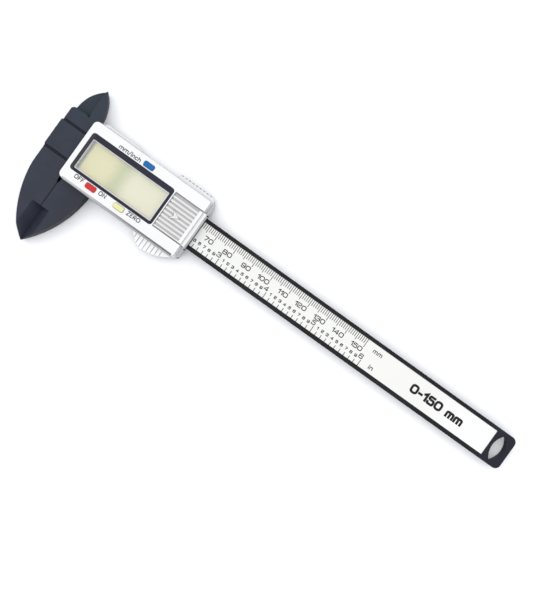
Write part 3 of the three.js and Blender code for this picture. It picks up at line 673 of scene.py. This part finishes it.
mesh = slab("display_frame", [rounded(*WINDOW, 1.4), rounded(3.5, 43.35, -7.4, 7.25, 0.35, 4)],
            WINDOW_TOP + 0.01, WINDOW_TOP + 0.19, 0.06)
add("display_frame", mesh, "slider", FRAME_INK)

# A pale rim round the view, where the window's print stops.
mesh = slab("view_rim", [rounded(3.45, 43.4, -7.45, 7.3, 0.35, 4),
                         rounded(3.75, 43.05, -7.1, 6.95, 0.3, 4)],
            WINDOW_TOP + 0.01, WINDOW_TOP + 0.06, 0.01)
add("view_rim", mesh, "slider", PALE_INK)

# ---------------------------------------------------------------- the cover's print

bm = bmesh.new()
lettering(bm, "mm/inch", 14.4, 10.3, COVER_TOP, height=2.05, align="LEFT", stretch=0.84,
          weight=0.37, gap=0.27)
for words, x, stretch in (("OFF", 6.05, 0.68), ("ON", 18.75, 0.7), ("ZERO", 33.5, 0.74)):
    lettering(bm, words, x, -11.08, COVER_TOP, height=2.05, align="LEFT", stretch=stretch,
              weight=0.38)
add("cover_print", finished(bm, "cover_print"), "slider", GREY_INK)

# ---------------------------------------------------------------- seams

# A dark line of painted shade runs along the cover's lower edge, standing in for its shaded lower
# wall.
mesh = slab("edge_line", [rounded(1.5, 59.2, -14.2, -13.38, 0.34, 4)], 13.7, COVER_TOP + 0.02, 0.01)
add("edge_line", mesh, "slider", EDGE_LINE)

# The shells meet below it and along the upper edge, which has a row of short dark dashes.
DASHES, FIRST_DASH, DASH_PITCH = 9, 42.35, 1.88
bm = bmesh.new()
rope(bm, [(x, -14.62, 8.7) for x in range(14, 60, 5)], 0.16)
rope(bm, [(x, 15.05, 8.62) for x in range(4, 60, 5)], 0.12)
for i in range(DASHES):
    x = FIRST_DASH + DASH_PITCH * i
    rope(bm, [(x, 16.72, 8.3), (x + 0.5, 16.76, 8.34), (x + 1.0, 16.72, 8.3)], 0.2)
add("shell_seams", finished(bm, "shell_seams"), "slider", SEAM_INK)

# A dark line fills the gap round the battery cover and runs on down the slider's end.
LINE_Z = COVER_TOP - 0.005
GAP_START, GAP_STOP, GAP_LOW, GAP_HIGH = 45.34, 59.75, -8.25, 9.27
bm = bmesh.new()
ribbon(bm, [(GAP_STOP, GAP_HIGH), (GAP_START, GAP_HIGH), (GAP_START, GAP_LOW), (GAP_STOP, GAP_LOW)],
       0.3, LINE_Z, False)
for y in (GAP_HIGH - 0.04, GAP_LOW + 0.04):
    rope(bm, [(59.72, y, 13.92), (59.98, y, 13.75), (60.58, y, 9.2)], 0.11)
add("door_gap", finished(bm, "door_gap"), "slider", SEAM_INK)

# The battery cover's arrow, a faint line across its end, and its darker long edges.
bm = bmesh.new()
ribbon(bm, [(53.3, 0.5), (48.9, 2.7), (50.2, 0.5), (48.9, -1.7)], 0.22, LINE_Z, True)
ribbon(bm, [(59.85, -7.85), (59.85, 8.9)], 0.16, LINE_Z, False)
add("door_lines", finished(bm, "door_lines"), "battery_door", FAINT_LINE)
bm = bmesh.new()
for y in (-7.9, 8.9):
    ribbon(bm, [(45.7, y), (59.7, y)], 0.22, LINE_Z, False)
add("door_edges", finished(bm, "door_edges"), "battery_door", SEAM_INK)

# Painted shadow where the slider lets the scale out: a dark strip stands for the shadowed gap at the
# slider's end, with a dark block at each of its ends for the gap's corners.
mesh = slab("end_shadow", [rounded(61.8, 62.12, -8.1, 8.1, 0.1, 3)], 6.3, 7.2, 0.06)
add("end_shadow", mesh, "slider", END_SHADOW)
mesh = slab("end_shadow_corners", [rounded(61.4, 62.05, 8.5, 9.15, 0.3, 3),
                           rounded(61.4, 62.05, -9.15, -8.5, 0.3, 3)], 6.32, 8.64, 0.06)
add("end_shadow_corners", mesh, "slider", END_SHADOW)

# ---------------------------------------------------------------- stage, lights and camera

bm = bmesh.new()
bmesh.ops.create_grid(bm, x_segments=1, y_segments=1, size=3)
floor = bpy.data.objects.new("floor", finished(bm, "floor"))
floor.location.z = -0.05 * MM
bpy.context.scene.collection.objects.link(floor)
ground = Graph("white_floor", (0.91, 0.92, 0.935))
paper = ground.mix(ground.between(ground.noise(8)), (0.90, 0.91, 0.925), (0.92, 0.93, 0.945))
ground.set(Base_Color=paper, Roughness=0.8)
floor.data.materials.append(ground.material)

world = bpy.data.worlds.new("studio")
world.use_nodes = True
world.node_tree.nodes["Background"].inputs["Color"].default_value = (0.95, 0.962, 1.0, 1)
world.node_tree.nodes["Background"].inputs["Strength"].default_value = 1.0
bpy.context.scene.world = world
bpy.context.scene.view_settings.view_transform = "Standard"

TURN = math.radians(35.56)  # of the photograph's upright, from the caliper's

key_data = bpy.data.lights.new("key", "AREA")
key_data.shape = "SQUARE"
key_data.size = 1.6
key_data.energy = 9.6
key_data.color = (1.0, 0.985, 0.965)
key = bpy.data.objects.new("key", key_data)
bpy.context.scene.collection.objects.link(key)
# It stands a little left of and above the picture's middle, in metres.
lit = at(100, -8, 0)
key.location = lit + Matrix.Rotation(TURN, 3, "Z") @ Vector((-0.16, 0.2, 1.18))
key.rotation_euler = (lit - key.location).to_track_quat("-Z", "Y").to_euler()

CAMERA_HEIGHT = 370  # above the label
camera = bpy.data.objects.new("camera", bpy.data.cameras.new("camera"))
bpy.context.scene.collection.objects.link(camera)
camera.location = at(103.4, -4.4, LABEL_TOP + CAMERA_HEIGHT)
camera.rotation_euler = (0, 0, TURN)
camera.data.sensor_width = 36
camera.data.lens = 51.3
camera.data.clip_start, camera.data.clip_end = 0.01, 20
bpy.context.scene.camera = camera
